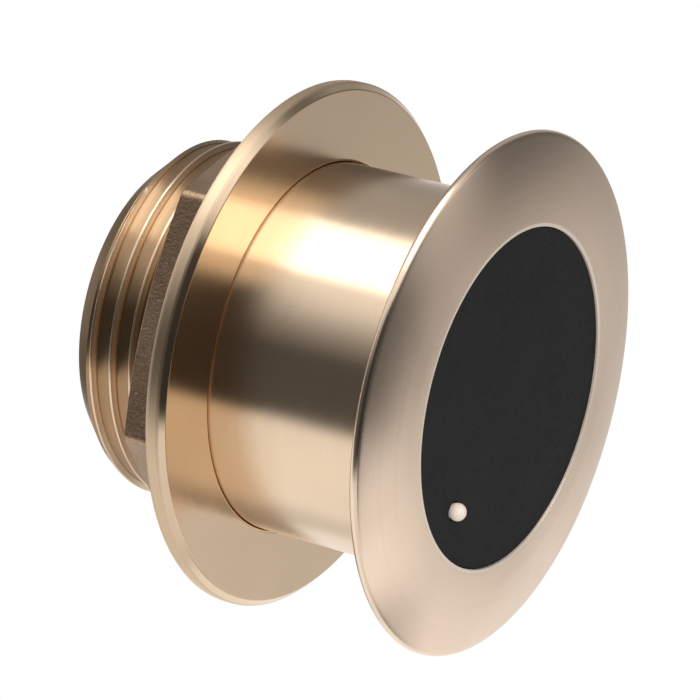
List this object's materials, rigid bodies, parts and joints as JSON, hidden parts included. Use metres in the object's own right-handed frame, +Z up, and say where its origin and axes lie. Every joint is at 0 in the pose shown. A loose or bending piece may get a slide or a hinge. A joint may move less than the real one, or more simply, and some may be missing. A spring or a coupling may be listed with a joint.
{
  "type": "sonar transducer",
  "caption": "Bronze thru-hull sonar transducer with a flat black acoustic face, a temperature probe, a threaded stem, a hull washer and a hull nut that screws along the stem.",
  "frame": {"origin": "on the stem's axis, at the height of the probe's tip, which is the lowest point, 1.7 mm below the lip's plane", "axes": "+Z up the stem, from the acoustic face towards the cable end; +X is the side turned up in the picture"},
  "size_m": [0.0854, 0.0854, 0.0663],
  "materials": {
    "turned_bronze": "satin, fine turned grain",
    "cast_bronze": "raw sand-cast skin, dull",
    "black_urethane": "flat satin black",
    "probe_bronze": "pale, finely finished",
    "thermistor_glass": "glossy bead",
    "tinned_wire": "tinned",
    "silvered_ceramic": "fired silver, satin",
    "cork": "granular, matt",
    "wire_insulation": "satin",
    "potting_epoxy": "cast, glossy",
    "circuit_laminate": "solder mask",
    "chip_plastic": "moulded",
    "capacitor_film": "dipped",
    "ferrite": "sintered, matt",
    "bobbin_nylon": "moulded",
    "enamelled_copper": "wound enamelled wire",
    "black_plastic": "fine moulded grain",
    "seal_rubber": "matt"
  },
  "bodies": {
    "housing_body": {"housing": "turned_bronze", "acoustic_window": "black_urethane", "temperature_probe": "probe_bronze", "thermistor": "thermistor_glass", "thermistor_lead_a": "tinned_wire", "thermistor_lead_b": "tinned_wire", "piezo_disc": "silvered_ceramic", "isolation_ring": "cork", "backing_pad": "cork", "element_lead_plus": "wire_insulation", "element_lead_minus": "wire_insulation", "potting_front": "potting_epoxy", "potting_rear": "potting_epoxy", "circuit_board": "circuit_laminate", "terminal_pin_1": "tinned_wire", "terminal_pin_2": "tinned_wire", "terminal_pin_3": "tinned_wire", "id_chip": "chip_plastic", "tuning_capacitor": "capacitor_film", "core_lower": "ferrite", "core_upper": "ferrite", "winding_bobbin": "bobbin_nylon", "primary_winding": "enamelled_copper", "secondary_winding": "enamelled_copper", "rear_cap": "black_plastic", "cap_seal": "seal_rubber", "cable_grommet": "seal_rubber"},
    "washer_body": {"hull_washer": "turned_bronze"},
    "nut_body": {"hull_nut": "cast_bronze"}
  },
  "joints": [
    {"name": "washer_slide", "type": "slide", "parent": "housing_body", "child": "washer_body", "axis": [0, 0, 1], "range_m": [0, 0.02221]},
    {"name": "nut_turn", "type": "hinge", "parent": "washer_body", "child": "nut_body", "pos_m": [0, 0, 0.0419], "axis": [0, 0, 1], "range_deg": [0, 2160]}
  ],
  "couplings": [
    {"joint": "washer_slide", "follows": "nut_turn", "m_per_rad": 0.00058887}
  ]
}
